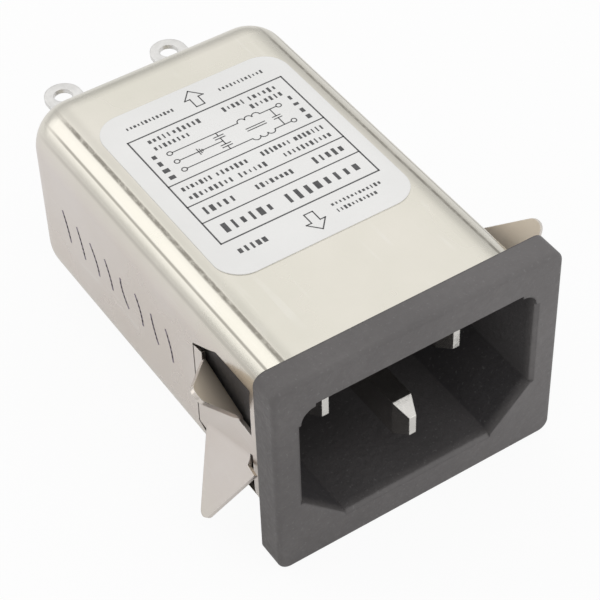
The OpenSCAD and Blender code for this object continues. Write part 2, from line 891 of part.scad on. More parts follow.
// An insulated wire from the earth pin's tail round the choke to the earth rivet.
module earth_wire() {
    side_x = inner_w / 2 - fit - sleeve_t - earth_wire_d / 2 - 3 * air_gap;
    under_z = disc_z - disc_d / 2 - earth_wire_d / 2 - air_gap;
    end_y = inner_back - 1.2 * bend_step;
    color([0.35, 0.6, 0.25])
        wire([
            [-0.8 * bend_step, tail_hole_y, earth_z],
            [1.4 * bend_step, tail_hole_y, earth_z],
            [3.5 * bend_step, tail_hole_y - 0.6 * bend_step, earth_z - 0.2 * bend_step],
            [side_x - 4 * bend_step, tail_hole_y - 0.6 * bend_step, earth_z - 0.6 * bend_step],
            [side_x - 1.4 * bend_step, tail_hole_y + bend_step, earth_z - 0.9 * bend_step],
            [side_x - 0.2 * bend_step, choke_y - 4 * bend_step, core_z + 1.3 * bend_step],
            [side_x, choke_y, core_z + 1.1 * bend_step],
            [side_x - 0.2 * bend_step, choke_y + 4 * bend_step, core_z + 0.7 * bend_step],
            [side_x - 1.2 * bend_step, disc_front - bend_step, under_z + 0.6 * bend_step],
            [side_x - 3.6 * bend_step, disc_front + bend_step, under_z],
            [4 * bend_step, disc_back - 0.6 * bend_step, under_z],
            [1.6 * bend_step, end_y, under_z + 0.3 * bend_step],
            [0.2 * bend_step, end_y, -rivet_drop - (rivet_head_d + earth_wire_d) / 2 - fit]
        ], earth_wire_d);
}

inlet_housing();
line_pin();
neutral_pin();
earth_pin();
case();
rating_label();
line_lug();
neutral_lug();
earth_lug();
line_bushing();
neutral_bushing();
earth_rivet();
insulating_sleeve();
choke_core();
choke_holder();
line_winding();
neutral_winding();
film_capacitor();
line_disc_capacitor();
neutral_disc_capacitor();
earth_wire();
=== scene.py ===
"""Looks for the snap-in mains inlet with a built-in line filter.

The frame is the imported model, in metres: X to the right seen from the front, Y back through the
panel, Z up, with the origin at the centre of the flange's back face.
"""

import json
import math
import random

import bmesh
import bpy
from mathutils import Matrix, Vector


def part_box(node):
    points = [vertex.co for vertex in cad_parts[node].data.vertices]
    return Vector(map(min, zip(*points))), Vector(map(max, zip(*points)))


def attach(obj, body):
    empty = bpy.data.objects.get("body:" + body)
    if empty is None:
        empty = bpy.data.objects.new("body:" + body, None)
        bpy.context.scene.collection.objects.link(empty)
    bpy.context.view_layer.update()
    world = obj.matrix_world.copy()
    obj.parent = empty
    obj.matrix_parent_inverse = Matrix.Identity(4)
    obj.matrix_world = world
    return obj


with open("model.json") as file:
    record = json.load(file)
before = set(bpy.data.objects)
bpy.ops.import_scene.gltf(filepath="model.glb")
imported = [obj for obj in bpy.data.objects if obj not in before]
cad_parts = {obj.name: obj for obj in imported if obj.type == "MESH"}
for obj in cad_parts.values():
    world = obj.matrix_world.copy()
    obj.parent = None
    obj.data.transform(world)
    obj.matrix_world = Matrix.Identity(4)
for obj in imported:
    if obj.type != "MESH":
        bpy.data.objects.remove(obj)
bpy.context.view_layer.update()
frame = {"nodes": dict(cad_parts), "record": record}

MM = 0.001

# ---------------------------------------------------------------- camera
# Where it stands, its three axes in the frame, and its focal length in millimetres.
CAMERA_EYE = Vector((-0.07114, -0.09746, 0.13437))
CAMERA_RIGHT = Vector((0.8337, -0.5517, -0.0245))
CAMERA_UP = Vector((0.4078, 0.5851, 0.701))
CAMERA_BACK = Vector((-0.3724, -0.5944, 0.7127))
CAMERA_LENS = 123.88
SENSOR_WIDTH = 36.0


def make_camera():
    data = bpy.data.cameras.new("camera")
    data.lens = CAMERA_LENS
    data.sensor_width = SENSOR_WIDTH
    data.clip_start = 0.01
    data.clip_end = 10.0
    camera = bpy.data.objects.new("camera", data)
    bpy.context.scene.collection.objects.link(camera)
    turn = Matrix((CAMERA_RIGHT, CAMERA_UP, CAMERA_BACK)).transposed().to_4x4()
    camera.matrix_world = Matrix.Translation(CAMERA_EYE) @ turn
    bpy.context.scene.camera = camera


make_camera()


# ---------------------------------------------------------------- node helpers
class Shade:
    """Short ways to add and link nodes in one tree."""

    def __init__(self, tree):
        self.tree = tree

    def add(self, kind, inputs=None, **settings):
        """A node with its settings, and its inputs linked or set."""
        node = self.tree.nodes.new("ShaderNode" + kind)
        for name, value in settings.items():
            setattr(node, name, value)
        for name, value in (inputs or {}).items():
            self.put(value, node.inputs[name])
        return node

    def put(self, value, socket):
        if isinstance(value, bpy.types.NodeSocket):
            self.tree.links.new(value, socket)
        else:
            socket.default_value = value

    def math(self, kind, a, b=0.0, c=None, clamp=False):
        node = self.add("Math", {0: a, 1: b}, operation=kind, use_clamp=clamp)
        if c is not None:
            self.put(c, node.inputs[2])
        return node.outputs[0]

    def noise(self, vector, scale, detail=2.0, rough=0.5):
        node = self.add("TexNoise", {"Vector": vector, "Scale": scale, "Detail": detail,
                                     "Roughness": rough})
        return node.outputs["Fac"]

    def stretch(self, vector, x, y, z):
        """The place scaled by axis. A small scale draws a pattern out along that axis."""
        return self.add("Mapping", {"Vector": vector, "Scale": (x, y, z)}).outputs[0]

    def ramp(self, value, stops):
        """The colour at the value, between stops of (place, colour)."""
        node = self.add("ValToRGB", {"Fac": value})
        ramp = node.color_ramp
        while len(ramp.elements) < len(stops):
            ramp.elements.new(0.5)
        for element, (place, colour) in zip(ramp.elements, stops):
            element.position = place
            element.color = colour4(colour)
        return node.outputs["Color"]

    def span(self, value, low, high, out_low=0.0, out_high=1.0):
        """The value moved from low..high to out_low..out_high, held at both ends."""
        return self.add("MapRange", {"Value": value, "From Min": low, "From Max": high,
                                     "To Min": out_low, "To Max": out_high}).outputs[0]

    def blend(self, factor, a, b):
        """Colour a where the factor is 0, and b where it is 1."""
        node = self.add("Mix", data_type="RGBA")
        self.put(factor, node.inputs["Factor"])
        self.put(a, node.inputs[6])
        self.put(b, node.inputs[7])
        return node.outputs[2]

    def bump(self, height, strength, distance, normal=None):
        node = self.add("Bump", {"Height": height, "Strength": strength, "Distance": distance})
        if normal is not None:
            self.put(normal, node.inputs["Normal"])
        return node.outputs[0]


def grey(value):
    return (value, value, value)


def colour4(colour):
    return (*colour, 1.0)


def new_material(name):
    """An empty material: it, its node helper, its surface shader and the place on the object."""
    material = bpy.data.materials.new(name)
    material.use_nodes = True
    tree = material.node_tree
    tree.nodes.clear()
    shade = Shade(tree)
    surface = shade.add("BsdfPrincipled")
    shade.add("OutputMaterial", {"Surface": surface.outputs[0]})
    place = shade.add("TexCoord").outputs["Object"]
    return material, shade, surface, place


# ---------------------------------------------------------------- shared effects
def new_group(name, inputs, outputs):
    """A shader node group with named sockets.

    Inputs are (name, kind, value) and outputs (name, kind).
    """
    tree = bpy.data.node_groups.new(name, "ShaderNodeTree")
    for label, kind, value in inputs:
        socket = tree.interface.new_socket(name=label, in_out="INPUT",
                                           socket_type="NodeSocket" + kind)
        if value is not None:
            socket.default_value = value
    for label, kind in outputs:
        tree.interface.new_socket(name=label, in_out="OUTPUT", socket_type="NodeSocket" + kind)
    s = Shade(tree)
    entry = tree.nodes.new("NodeGroupInput").outputs
    result = tree.nodes.new("NodeGroupOutput").inputs
    return tree, s, entry, result


def edge_wear_and_painted_light_group():
    """Rounded-over edges: where they are, and the normal that softens them. The edge mask tints
    real wear and also painted highlights and painted shade along edges.
    """
    inputs = [("Radius", "Float", 0.0002), ("Sharpness", "Float", 6.0)]
    outputs = [("Edge", "Float"), ("Normal", "Vector")]
    tree, s, entry, result = new_group("edge_wear_and_painted_light", inputs, outputs)
    soft = s.add("Bevel", {"Radius": entry["Radius"]}, samples=4).outputs[0]
    flat = s.add("NewGeometry").outputs["Normal"]
    agree = s.add("VectorMath", {0: soft, 1: flat}, operation="DOT_PRODUCT").outputs["Value"]
    edge = s.math("MULTIPLY", s.math("SUBTRACT", 1.0, agree), entry["Sharpness"], clamp=True)
    s.put(edge, result["Edge"])
    s.put(soft, result["Normal"])
    return tree


def fine_grain_group():
    """A close grain at one scale, with slow patches that vary its strength."""
    inputs = [("Vector", "Vector", None), ("Scale", "Float", 2500.0),
              ("Patches", "Float", 150.0)]
    outputs = [("Grain", "Float"), ("Patch", "Float")]
    tree, s, entry, result = new_group("fine_grain", inputs, outputs)
    fine = s.noise(entry["Vector"], entry["Scale"], 3.0, 0.6)
    patch = s.noise(entry["Vector"], entry["Patches"], 4.0, 0.55)
    spread = s.span(patch, 0.3, 0.7, 0.6, 1.0)
    s.put(s.math("MULTIPLY", s.span(fine, 0.3, 0.7), spread), result["Grain"])
    s.put(s.span(patch, 0.3, 0.7), result["Patch"])
    return tree


def rub_marks_group():
    """Sparse hairline rubs that run mostly one way, from handling and from the tool."""
    inputs = [("Vector", "Vector", None), ("Scale", "Float", 800.0), ("Amount", "Float", 0.3)]
    tree, s, entry, result = new_group("rub_marks", inputs, [("Rub", "Float")])
    along = s.noise(s.stretch(entry["Vector"], 1.0, 0.035, 1.0), entry["Scale"], 2.0, 0.6)
    across = s.noise(entry["Vector"], 260.0, 2.0, 0.5)
    rub = s.math("MULTIPLY", s.span(along, 0.60, 0.66), s.span(across, 0.45, 0.65))
    s.put(s.math("MULTIPLY", rub, entry["Amount"]), result["Rub"])
    return tree


EDGE_WEAR_AND_PAINTED_LIGHT = edge_wear_and_painted_light_group()
FINE_GRAIN = fine_grain_group()
RUB_MARKS = rub_marks_group()


def use_group(s, tree, **inputs):
    """A shared effect in this tree, by its outputs."""
    node = s.add("Group", None, node_tree=tree)
    for name, value in inputs.items():
        s.put(value, node.inputs[name])
    return node.outputs


# ---------------------------------------------------------------- sizes, some taken from the frame and the rest given
def corners(node):
    low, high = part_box(node)
    return Vector(low), Vector(high)


CASE_TOP = corners("case")[1].z
FLANGE_FRONT = corners("inlet_housing")[0].y
LABEL_TOP = corners("rating_label")[1].z
SHEET_SIDE = 13.8 * MM          # outer face of the can's side walls
SHEET = 0.4 * MM                # thickness of the can's wall
CORNER_RADIUS = 4.5 * MM        # of the can's long edges
CORNER_X = SHEET_SIDE - CORNER_RADIUS
CORNER_Z = CASE_TOP - CORNER_RADIUS
SOCKET_HALF_X, SOCKET_HALF_Z = 12.1 * MM, 7.8 * MM


# ---------------------------------------------------------------- materials
# Where the dark lines run round the can's long edges, in radians from the top face: a draw line at
# the crease, a groove, and a painted dark reflection band; their dark colour is partly painted
# reflection.
CREASE_TURN, GROOVE_AND_REFLECTION_TURN, PAINTED_REFLECTION_TURN = 0.43, 0.765, 1.05
LINES_START, LINES_END = 36.0 * MM, 41.0 * MM      # they fade out between these, towards the back
FLANGE_HALF_X = 15.0 * MM


def band(s, value, centre, half, soft):
    """1 within half of the centre, fading to 0 over the soft distance."""
    away = s.math("ABSOLUTE", s.math("SUBTRACT", value, centre))
    return s.span(away, half, half + soft, 1.0, 0.0)


def nickel_sheet():
    """Nickel on drawn steel: warm and soft, with dark lines along its long edges, partly draw lines
    and partly painted dark reflection bands.

    The inner side of the sheet is duller.
    """
    material, s, surface, place = new_material("can_nickel")
    grain = use_group(s, FINE_GRAIN, Vector=place, Scale=5200.0, Patches=75.0)
    rubs = use_group(s, RUB_MARKS, Vector=place, Scale=1500.0, Amount=0.5)["Rub"]
    edge = use_group(s, EDGE_WEAR_AND_PAINTED_LIGHT, Radius=0.00012, Sharpness=5.0)
    xyz = s.add("SeparateXYZ", {"Vector": place}).outputs
    across = s.math("ABSOLUTE", xyz["X"])
    up = s.math("ABSOLUTE", xyz["Z"])

    # The turn round the long edges: 0 at the top face and 90 degrees at the side face.
    turn = s.math("ARCTAN2", s.math("SUBTRACT", across, CORNER_X), s.math("SUBTRACT", up, CORNER_Z))
    rough_line = s.noise(s.stretch(place, 1.0, 0.5, 1.0), 2600.0, 3.0, 0.7)
    crease = s.math("MULTIPLY", band(s, turn, CREASE_TURN, 0.025, 0.035),
                    s.span(rough_line, 0.30, 0.55, 0.45, 1.0))
    groove_and_painted_reflection = s.math("MULTIPLY", band(s, turn, GROOVE_AND_REFLECTION_TURN, 0.012, 0.030), 0.75)
    painted_reflection_line = s.math("MULTIPLY", band(s, turn, PAINTED_REFLECTION_TURN, 0.01, 0.05), 0.30)
    in_length = s.span(xyz["Y"], LINES_START, LINES_END, 1.0, 0.0)
    lines_and_painted_reflection = s.math("MAXIMUM", s.math("MAXIMUM", crease, groove_and_painted_reflection), painted_reflection_line)
    lines_and_painted_reflection = s.math("MULTIPLY", lines_and_painted_reflection, in_length)

    # Painted shade: the side faces take a darker, pinker tint than the top face.
    side = s.span(turn, 0.9, 1.5)
    top_tint = s.ramp(grain["Patch"], [(0.0, (0.74, 0.715, 0.63)),
                                       (1.0, (0.82, 0.785, 0.705))])
    painted_shade_side_tint = s.ramp(grain["Patch"], [(0.0, (0.70, 0.635, 0.575)),
                                        (1.0, (0.76, 0.705, 0.665))])
    tint = s.blend(side, top_tint, painted_shade_side_tint)
    # Painted reflection: these lines darken the colour, standing in for dark reflection bands as
    # well as for the draw lines.
    tint = s.blend(s.math("MULTIPLY", lines_and_painted_reflection, 0.75), tint, (0.22, 0.20, 0.17, 1.0))
    tint = s.blend(s.math("MULTIPLY", rubs, 0.35), tint, (0.90, 0.88, 0.84, 1.0))

    # The inner side of the sheet, which the bent wings show, isn't polished; its tint is also
    # raised as painted light, to lift those faces out of their shade.
    geometry = s.add("NewGeometry").outputs
    normal = s.add("SeparateXYZ", {"Vector": geometry["Normal"]}).outputs
    inward = s.math("MULTIPLY", s.math("SIGN", xyz["X"]), normal["X"])
    outside = s.math("GREATER_THAN", across, SHEET_SIDE - SHEET - 0.05 * MM)
    bare_and_painted_light = s.math("MULTIPLY", s.span(inward, -0.15, -0.45), outside)
    bare_tint_with_painted_light = s.ramp(grain["Patch"], [(0.0, (0.74, 0.65, 0.53)), (1.0, (0.86, 0.78, 0.67))])
    tint = s.blend(bare_and_painted_light, tint, bare_tint_with_painted_light)
    # Painted highlight: the edges and bends are made nearly white in colour.
    tint = s.blend(s.math("MULTIPLY", edge["Edge"], 0.6), tint, (0.93, 0.91, 0.86, 1.0))
    s.put(tint, surface.inputs["Base Color"])
    s.put(s.span(bare_and_painted_light, 0.0, 1.0, 1.0, 0.70), surface.inputs["Metallic"])

    rough = s.math("ADD", s.span(grain["Patch"], 0.0, 1.0, 0.25, 0.31),
                   s.math("MULTIPLY", lines_and_painted_reflection, 0.25))
    rough = s.math("ADD", rough, s.math("MULTIPLY", bare_and_painted_light, 0.25))
    s.put(rough, surface.inputs["Roughness"])
    waves = s.noise(s.stretch(place, 1.0, 0.30, 1.0), 120.0, 2.0, 0.5)
    height = s.math("ADD", waves, s.math("MULTIPLY", grain["Grain"], 0.03))
    height = s.math("SUBTRACT", height, s.math("MULTIPLY", lines_and_painted_reflection, 0.10))
    s.put(s.bump(height, 0.30, 0.0004, edge["Normal"]), surface.inputs["Normal"])
    return material


def dark_plastic():
    """Filled moulding plastic, darker in the socket as painted shade and paler towards the right as
    a painted light gradient.
    """
    material, s, surface, place = new_material("housing_plastic")
    grain = use_group(s, FINE_GRAIN, Vector=place, Scale=1500.0, Patches=110.0)
    specks = s.span(s.noise(place, 3400.0, 2.0, 0.5), 0.62, 0.74)
    edge = use_group(s, EDGE_WEAR_AND_PAINTED_LIGHT, Radius=0.0003, Sharpness=4.0)
    xyz = s.add("SeparateXYZ", {"Vector": place}).outputs
    # Painted shade: inside the socket the plastic takes a much darker colour than outside.
    in_x = s.span(s.math("ABSOLUTE", xyz["X"]), SOCKET_HALF_X, SOCKET_HALF_X + 0.3 * MM, 1.0, 0.0)
    in_z = s.span(s.math("ABSOLUTE", xyz["Z"]), SOCKET_HALF_Z, SOCKET_HALF_Z + 0.3 * MM, 1.0, 0.0)
    depth = s.span(xyz["Y"], FLANGE_FRONT + 0.2 * MM, FLANGE_FRONT + 1.2 * MM)
    socket = s.math("MULTIPLY", s.math("MULTIPLY", in_x, in_z), depth)
    outer = s.ramp(grain["Patch"], [(0.0, (0.100, 0.093, 0.092)),
                                    (1.0, (0.138, 0.129, 0.127))])
    outer = s.blend(s.math("MULTIPLY", grain["Grain"], 0.25), outer, (0.085, 0.080, 0.080, 1.0))
    inner = s.ramp(grain["Patch"], [(0.0, (0.042, 0.040, 0.042)),
                                    (1.0, (0.058, 0.054, 0.056))])
    # Painted light: the outside grows paler towards the right.
    painted_light_gradient = s.span(xyz["X"], -FLANGE_HALF_X, FLANGE_HALF_X, 0.0, 0.35)
    outer = s.blend(painted_light_gradient, outer, (0.22, 0.21, 0.21, 1.0))
    tint = s.blend(socket, outer, inner)
    tint = s.blend(s.math("MULTIPLY", specks, 0.30), tint, (0.26, 0.25, 0.25, 1.0))
    # Painted shade: a dark line is painted along the rounded edges.
    tint = s.blend(s.math("MULTIPLY", edge["Edge"], 0.55), tint, (0.05, 0.047, 0.047, 1.0))
    s.put(tint, surface.inputs["Base Color"])
    rough = s.span(grain["Grain"], 0.0, 1.0, 0.50, 0.66)
    rough = s.math("SUBTRACT", rough, s.math("MULTIPLY", edge["Edge"], 0.25))
    s.put(rough, surface.inputs["Roughness"])
    s.put(s.bump(grain["Grain"], 0.45, 0.00008, edge["Normal"]), surface.inputs["Normal"])
    return material


def plated(name, low, high, rough_low, rough_high, rub=0.4, scale=400.0):
    """Plated metal: patches, rubbed lines and brighter edges."""
    material, s, surface, place = new_material(name)
    grain = use_group(s, FINE_GRAIN, Vector=place, Scale=scale * 5, Patches=scale)
    rubs = use_group(s, RUB_MARKS, Vector=place, Scale=scale * 4, Amount=rub)["Rub"]
    edge = use_group(s, EDGE_WEAR_AND_PAINTED_LIGHT, Radius=0.00012, Sharpness=5.0)
    tint = s.ramp(grain["Patch"], [(0.0, low), (1.0, high)])
    bright = tuple(min(1.0, channel * 1.12) for channel in high)
    worn = s.math("MAXIMUM", rubs, s.math("MULTIPLY", edge["Edge"], 0.6))
    tint = s.blend(worn, tint, colour4(bright))
    s.put(tint, surface.inputs["Base Color"])
    surface.inputs["Metallic"].default_value = 1.0
    s.put(s.span(grain["Grain"], 0.0, 1.0, rough_low, rough_high), surface.inputs["Roughness"])
    s.put(s.bump(grain["Grain"], 0.15, 0.00005, edge["Normal"]), surface.inputs["Normal"])
    return material


def coated(name, low, high, rough_low, rough_high, scale=500.0, depth=0.00006):
    """Moulded, dipped or sintered stuff: mottled, with a fine skin and softened edges."""
    material, s, surface, place = new_material(name)
    grain = use_group(s, FINE_GRAIN, Vector=place, Scale=scale * 6, Patches=scale)
    edge = use_group(s, EDGE_WEAR_AND_PAINTED_LIGHT, Radius=0.0002, Sharpness=3.0)
    tint = s.ramp(grain["Patch"], [(0.0, low), (1.0, high)])
    pale = tuple(channel + 0.25 * (1.0 - channel) for channel in high)
    tint = s.blend(s.math("MULTIPLY", edge["Edge"], 0.4), tint, colour4(pale))
    s.put(tint, surface.inputs["Base Color"])
    s.put(s.span(grain["Grain"], 0.0, 1.0, rough_low, rough_high), surface.inputs["Roughness"])
    s.put(s.bump(grain["Grain"], 0.25, depth, edge["Normal"]), surface.inputs["Normal"])
    return material


def label_film():
    """Silver-white polyester film, a little wavy over the metal, with a darker cut edge."""
    material, s, surface, place = new_material("label_film")
    grain = use_group(s, FINE_GRAIN, Vector=place, Scale=2600.0, Patches=60.0)
    edge = use_group(s, EDGE_WEAR_AND_PAINTED_LIGHT, Radius=0.0001, Sharpness=5.0)
    tint = s.ramp(grain["Patch"], [(0.0, (0.84, 0.835, 0.82)), (1.0, (0.92, 0.915, 0.90))])
    tint = s.blend(s.math("MULTIPLY", edge["Edge"], 0.5), tint, (0.45, 0.44, 0.42, 1.0))
    s.put(tint, surface.inputs["Base Color"])
    s.put(s.span(grain["Grain"], 0.0, 1.0, 0.34, 0.46), surface.inputs["Roughness"])
    surface.inputs["Metallic"].default_value = 0.2
    waves = s.noise(place, 130.0, 2.0, 0.5)
    s.put(s.bump(waves, 0.12, 0.0003), surface.inputs["Normal"])
    return material


def print_ink(name, low, high, thin):
    """Ink with thin places, where it takes the paler thin colour."""
    material, s, surface, place = new_material(name)
    grain = use_group(s, FINE_GRAIN, Vector=place, Scale=5200.0, Patches=900.0)
    tint = s.ramp(grain["Patch"], [(0.0, low), (1.0, high)])
    tint = s.blend(s.math("MULTIPLY", grain["Grain"], 0.5), tint, colour4(thin))
    s.put(tint, surface.inputs["Base Color"])
    s.put(s.span(grain["Grain"], 0.0, 1.0, 0.45, 0.60), surface.inputs["Roughness"])
    s.put(s.bump(grain["Grain"], 0.10, 0.00001), surface.inputs["Normal"])
    return material


MATERIALS = {
    "housing_plastic": dark_plastic(),
    "can_nickel": nickel_sheet(),
    "nickel_pin": plated("nickel_pin", (0.76, 0.74, 0.70), (0.86, 0.84, 0.80), 0.16, 0.26),
    "label_film": label_film(),
    "tinned_lug": plated("tinned_lug", (0.72, 0.71, 0.69), (0.86, 0.85, 0.83), 0.30, 0.42,
                         rub=0.3, scale=700.0),
    "bushing_resin": coated("bushing_resin", (0.10, 0.075, 0.05), (0.15, 0.11, 0.08), 0.40, 0.55),
    "rivet_steel": plated("rivet_steel", (0.68, 0.67, 0.64), (0.76, 0.75, 0.72), 0.22, 0.34),
    "sleeve_paper": coated("sleeve_paper", (0.50, 0.40, 0.25), (0.62, 0.52, 0.35), 0.70, 0.85,
                           scale=900.0, depth=0.0001),
    "ferrite": coated("ferrite", (0.03, 0.07, 0.045), (0.05, 0.11, 0.065), 0.40, 0.50),
    "holder_plastic": coated("holder_plastic", (0.66, 0.62, 0.52), (0.76, 0.72, 0.63), 0.40, 0.50),
    "copper_wire": plated("copper_wire", (0.52, 0.17, 0.06), (0.68, 0.28, 0.11), 0.20, 0.30,
                          rub=0.2, scale=900.0),
    "film_box": coated("film_box", (0.68, 0.55, 0.14), (0.77, 0.66, 0.22), 0.25, 0.35),
    "disc_coat": coated("disc_coat", (0.04, 0.13, 0.36), (0.07, 0.19, 0.46), 0.20, 0.30),
    "wire_green": coated("wire_green", (0.08, 0.32, 0.06), (0.12, 0.40, 0.09), 0.35, 0.45),
}
NODE_SLOTS = {part["node"]: part["material_slot"] for part in frame["record"]["subparts"]}

for node_name, cad_object in frame["nodes"].items():
    cad_object.data.materials.clear()
    cad_object.data.materials.append(MATERIALS[NODE_SLOTS[node_name]])


# ---------------------------------------------------------------- print and side marks
LABEL_INK = print_ink("label_ink", (0.045, 0.045, 0.048), (0.075, 0.074, 0.076),
                      (0.20, 0.20, 0.20))
SIDE_INK = print_ink("side_ink", (0.10, 0.075, 0.12), (0.17, 0.14, 0.19), (0.34, 0.30, 0.33))
INK_T = 0.012 * MM
PRINT_X = 0.15 * MM             # the print sits a little to one side on the film


class Print:
    """Flat strokes with a little height, drawn in millimetres on one face of the object."""

    def __init__(self, to_place):
        self.bm = bmesh.new()
        self.to_place = to_place

    def plate(self, outline):
        """A closed plate over the outline, which runs anticlockwise seen from outside."""
        low = [self.bm.verts.new(self.to_place(u, v, 0.0)) for u, v in outline]
        high = [self.bm.verts.new(self.to_place(u, v, INK_T)) for u, v in outline]
        self.bm.faces.new(high)
        self.bm.faces.new(low[::-1])
        count = len(outline)
        for i in range(count):
            j = (i + 1) % count
            self.bm.faces.new((low[i], low[j], high[j], high[i]))

    def line(self, start, end, width=0.14):
        """A straight stroke, which runs on by half its width at both ends."""
        (u0, v0), (u1, v1) = start, end
        length = math.hypot(u1 - u0, v1 - v0)
        du, dv = (u1 - u0) / length * width / 2, (v1 - v0) / length * width / 2
        self.plate([(u0 - du + dv, v0 - dv - du), (u1 + du + dv, v1 + dv - du),
                    (u1 + du - dv, v1 + dv + du), (u0 - du - dv, v0 - dv + du)])

    def path(self, points, width=0.14):
        for start, end in zip(points, points[1:]):
            self.line(start, end, width)

    def arc(self, centre, radius, first=0.0, last=360.0, width=0.14, steps=20):
        """A bent stroke from the first angle to the last, in degrees."""
        angles = [math.radians(first + (last - first) * i / steps) for i in range(steps + 1)]
        rim = [(math.cos(a), math.sin(a)) for a in angles]
        inner, outer = radius - width / 2, radius + width / 2
        u, v = centre
        for (c0, s0), (c1, s1) in zip(rim, rim[1:]):
            self.plate([(u + inner * c0, v + inner * s0), (u + outer * c0, v + outer * s0),
                        (u + outer * c1, v + outer * s1), (u + inner * c1, v + inner * s1)])

    def finish(self, name, material, body="root"):
        """The strokes as one piece of the visual model."""
        mesh = bpy.data.meshes.new(name)
        bmesh.ops.recalc_face_normals(self.bm, faces=self.bm.faces)
        self.bm.to_mesh(mesh)
        self.bm.free()
        mesh.materials.append(material)
        piece = bpy.data.objects.new(name, mesh)
        bpy.context.scene.collection.objects.link(piece)
        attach(piece, body)
        return piece


def on_label(u, v, rise):
    """Millimetres across the label and back from the panel's seat, as a place on its face."""
    return Vector((u * MM + PRINT_X, v * MM, LABEL_TOP + rise))


def on_left_side(u, v, rise):
    """Millimetres back from the panel's seat and up, as a place on the can's left face."""
    return Vector((-SHEET_SIDE - rise, u * MM, v * MM))


def word_row_tree():
    """Small bars in a row, of random lengths, where a row of small print would be."""
    tree = bpy.data.node_groups.new("word_row", "GeometryNodeTree")
    kinds = [("Geometry", "Geometry"), ("Start", "Vector"), ("Step", "Vector"), ("Count", "Int"),
             ("Bar Length", "Float"), ("Bar Width", "Float"), ("Bar Height", "Float"),
             ("Seed", "Int"), ("Ink", "Material")]
    for name, kind in kinds:
        tree.interface.new_socket(name=name, in_out="INPUT", socket_type="NodeSocket" + kind)
    tree.interface.new_socket(name="Geometry", in_out="OUTPUT", socket_type="NodeSocketGeometry")
    nodes, links = tree.nodes, tree.links
    entry = nodes.new("NodeGroupInput").outputs
    row = nodes.new("GeometryNodeMeshLine")
    row.mode = "OFFSET"
    links.new(entry["Count"], row.inputs["Count"])
    links.new(entry["Start"], row.inputs["Start Location"])
    links.new(entry["Step"], row.inputs["Offset"])
    size = nodes.new("ShaderNodeCombineXYZ")
    links.new(entry["Bar Length"], size.inputs["X"])
    links.new(entry["Bar Width"], size.inputs["Y"])
    links.new(entry["Bar Height"], size.inputs["Z"])
    bar = nodes.new("GeometryNodeMeshCube")
    links.new(size.outputs[0], bar.inputs["Size"])
    lengths = nodes.new("FunctionNodeRandomValue")
    lengths.data_type = "FLOAT_VECTOR"
    lengths.inputs[0].default_value = (0.25, 0.55, 1.0)      # the least share of each size
    lengths.inputs[1].default_value = (0.62, 1.0, 1.0)       # and the largest
    links.new(entry["Seed"], lengths.inputs["Seed"])
    spread = nodes.new("GeometryNodeInstanceOnPoints")
    links.new(row.outputs["Mesh"], spread.inputs["Points"])
    links.new(bar.outputs["Mesh"], spread.inputs["Instance"])
    links.new(lengths.outputs["Value"], spread.inputs["Scale"])
    real = nodes.new("GeometryNodeRealizeInstances")
    links.new(spread.outputs["Instances"], real.inputs["Geometry"])
    paint = nodes.new("GeometryNodeSetMaterial")
    links.new(real.outputs["Geometry"], paint.inputs["Geometry"])
    links.new(entry["Ink"], paint.inputs["Material"])
    leave = nodes.new("NodeGroupOutput")
    links.new(paint.outputs["Geometry"], leave.inputs["Geometry"])
    return tree


def add_word_row(pen, tree, start, end, bar, seed):
    """Adds to the pen a row of bars from start to end. A bar is (pitch, height), in millimetres."""
    pitch, height = bar
    run = math.hypot(end[0] - start[0], end[1] - start[1])
    count = max(2, round(run / pitch) + 1)
    first = on_label(*start, INK_T / 2)
    step = (on_label(*end, INK_T / 2) - first) / (count - 1)
    holder = bpy.data.objects.new("word_row", bpy.data.meshes.new("word_row"))
    bpy.context.scene.collection.objects.link(holder)
    modifier = holder.modifiers.new("word_row", "NODES")
    modifier.node_group = tree
    values = {"Start": tuple(first), "Step": tuple(step), "Count": count,
              "Bar Length": pitch * MM, "Bar Width": height * MM, "Bar Height": INK_T,
              "Seed": seed, "Ink": LABEL_INK}
    for item in tree.interface.items_tree:
        if item.in_out == "INPUT" and item.name in values:
            modifier[item.identifier] = values[item.name]
    shape = holder.evaluated_get(bpy.context.evaluated_depsgraph_get())
    mesh = bpy.data.meshes.new_from_object(shape)
    pen.bm.from_mesh(mesh)
    bpy.data.objects.remove(holder)
    bpy.data.meshes.remove(mesh)


# The label's layout, in millimetres across it (u) and back from the panel's seat (v).
FRAME_HALF = 8.35
FRAME_FRONT, FRAME_BACK = 15.55, 31.7
RULES = (18.7, 21.2, 24.45)                     # lines across the frame
LINE_V, EARTH_V, NEUTRAL_V = 28.3, 27.0, 25.7   # the circuit's three wires
TERMINAL_U = 5.9                                # its terminals, either side of the middle
TERMINAL_RADIUS = 0.26
WIRE = 0.11                                     # width of the circuit's strokes
PLATE_GAP = 0.16                                # from a capacitor's middle to each plate
# Pitch and height of the bars in a row.
TINY, SMALL, MEDIUM, LARGE = (0.40, 0.50), (0.50, 0.72), (0.70, 1.05), (0.98, 1.35)
LETTERS = (1.06, 0.62)


def draw_frame(pen):
    rim = [(-FRAME_HALF, FRAME_FRONT), (FRAME_HALF, FRAME_FRONT), (FRAME_HALF, FRAME_BACK),
           (-FRAME_HALF, FRAME_BACK), (-FRAME_HALF, FRAME_FRONT)]
    pen.path(rim, 0.15)
    for v in RULES:
        pen.line((-FRAME_HALF, v), (FRAME_HALF, v), 0.13)


